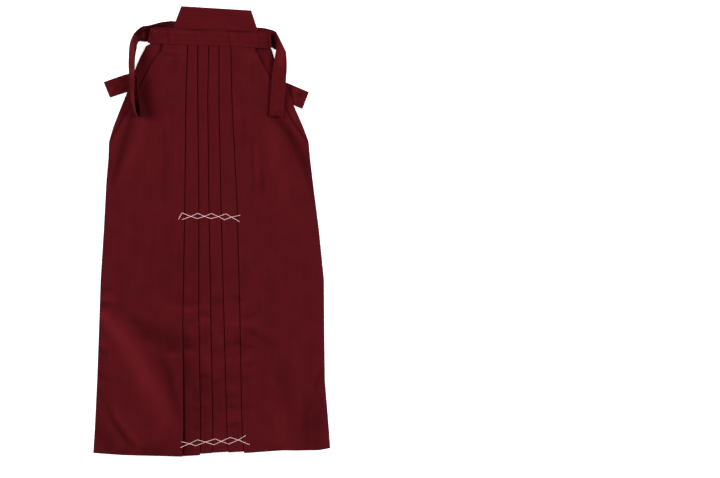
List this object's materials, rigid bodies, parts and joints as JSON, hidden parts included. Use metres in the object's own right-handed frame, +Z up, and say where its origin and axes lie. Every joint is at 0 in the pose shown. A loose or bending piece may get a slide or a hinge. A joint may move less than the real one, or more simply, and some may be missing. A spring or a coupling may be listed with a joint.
{
  "type": "hakama trousers",
  "caption": "Pleated divided hakama trousers laid flat on their back, with a stiff waist board, a folded waistband, side slits and long ties folded at both sides.",
  "frame": {"origin": "on the surface that the garment lies on, under the middle of its outline", "axes": "+Y from the hem to the waist, +X to the wearer's left, +Z up, out of the garment's front"},
  "size_m": [0.4545, 0.8635, 0.0325],
  "materials": {
    "panel_cloth": "matt fine twill weave, dark maroon",
    "band_cloth": "matt fine twill weave over a stiff core, dark maroon",
    "tie_cloth": "matt fine twill weave, folded strip, dark maroon",
    "basting_thread": "loose twisted cotton thread, off-white"
  },
  "bodies": {
    "root": {"back_panel_right": "panel_cloth", "back_panel_left": "panel_cloth", "front_panel_right": "panel_cloth", "front_panel_left": "panel_cloth", "front_band": "band_cloth", "waist_board": "band_cloth", "front_tie_left": "tie_cloth", "front_tie_right": "tie_cloth", "back_tie_base": "tie_cloth", "back_tie_left": "tie_cloth", "back_tie_right": "tie_cloth"}
  },
  "joints": []
}
